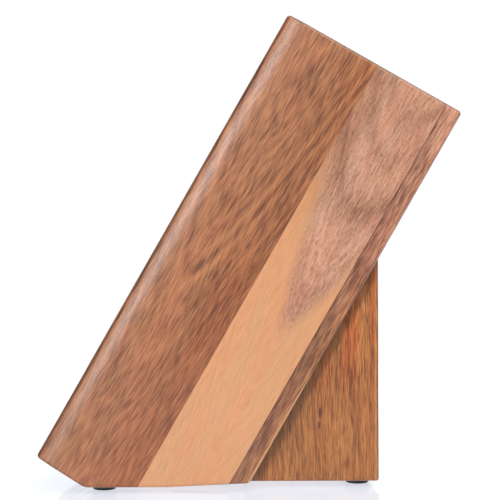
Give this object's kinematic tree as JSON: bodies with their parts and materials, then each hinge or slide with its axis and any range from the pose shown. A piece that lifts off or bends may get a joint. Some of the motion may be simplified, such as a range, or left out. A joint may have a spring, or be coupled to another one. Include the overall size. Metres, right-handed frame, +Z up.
{
  "type": "knife block",
  "caption": "Slanted knife block of edge-glued acacia boards with open slots for knives, resting on a wedge-shaped stand with rubber feet.",
  "frame": {"origin": "on the counter, under the middle of the bounding box", "axes": "+X from the back to the front, where the knife handles come out, +Y from left to right as the user stands, +Z up"},
  "size_m": [0.2156, 0.097, 0.2425],
  "materials": {
    "brown_heartwood": "satin lacquered, straight grain with fine dark pores",
    "pale_sapwood": "satin lacquered, blond sapwood running up into pinkish figured heartwood",
    "dark_heartwood": "satin lacquered, dark purplish brown streaks",
    "inner_wood": "satin lacquered on the outer edges and end grain, plain inside the slots",
    "spacer_wood": "plain thin strips, lacquered where they show",
    "stand_wood": "satin lacquered, upright warm brown grain with a small dark pin mark",
    "dowel_wood": "plain beech, hidden in the joint",
    "black_rubber": "matte, moulded"
  },
  "bodies": {
    "root": {"back_left_foot": "black_rubber", "back_right_foot": "black_rubber", "centre_slot_back_spacer": "spacer_wood", "centre_slot_divider": "spacer_wood", "centre_slot_front_spacer": "spacer_wood", "front_left_foot": "black_rubber", "front_right_foot": "black_rubber", "left_inner_back_stave": "inner_wood", "left_inner_front_stave": "inner_wood", "left_lower_dowel": "dowel_wood", "left_side_back_stave": "brown_heartwood", "left_side_front_strip": "dark_heartwood", "left_side_middle_stave": "pale_sapwood", "left_slot_back_spacer": "spacer_wood", "left_slot_divider": "spacer_wood", "left_slot_front_spacer": "spacer_wood", "left_upper_dowel": "dowel_wood", "right_inner_back_stave": "inner_wood", "right_inner_front_stave": "inner_wood", "right_lower_dowel": "dowel_wood", "right_side_back_stave": "brown_heartwood", "right_side_front_strip": "dark_heartwood", "right_side_middle_stave": "pale_sapwood", "right_slot_back_spacer": "spacer_wood", "right_slot_divider": "spacer_wood", "right_slot_front_spacer": "spacer_wood", "right_upper_dowel": "dowel_wood", "stand_left_board": "stand_wood", "stand_right_board": "stand_wood"}
  },
  "joints": []
}
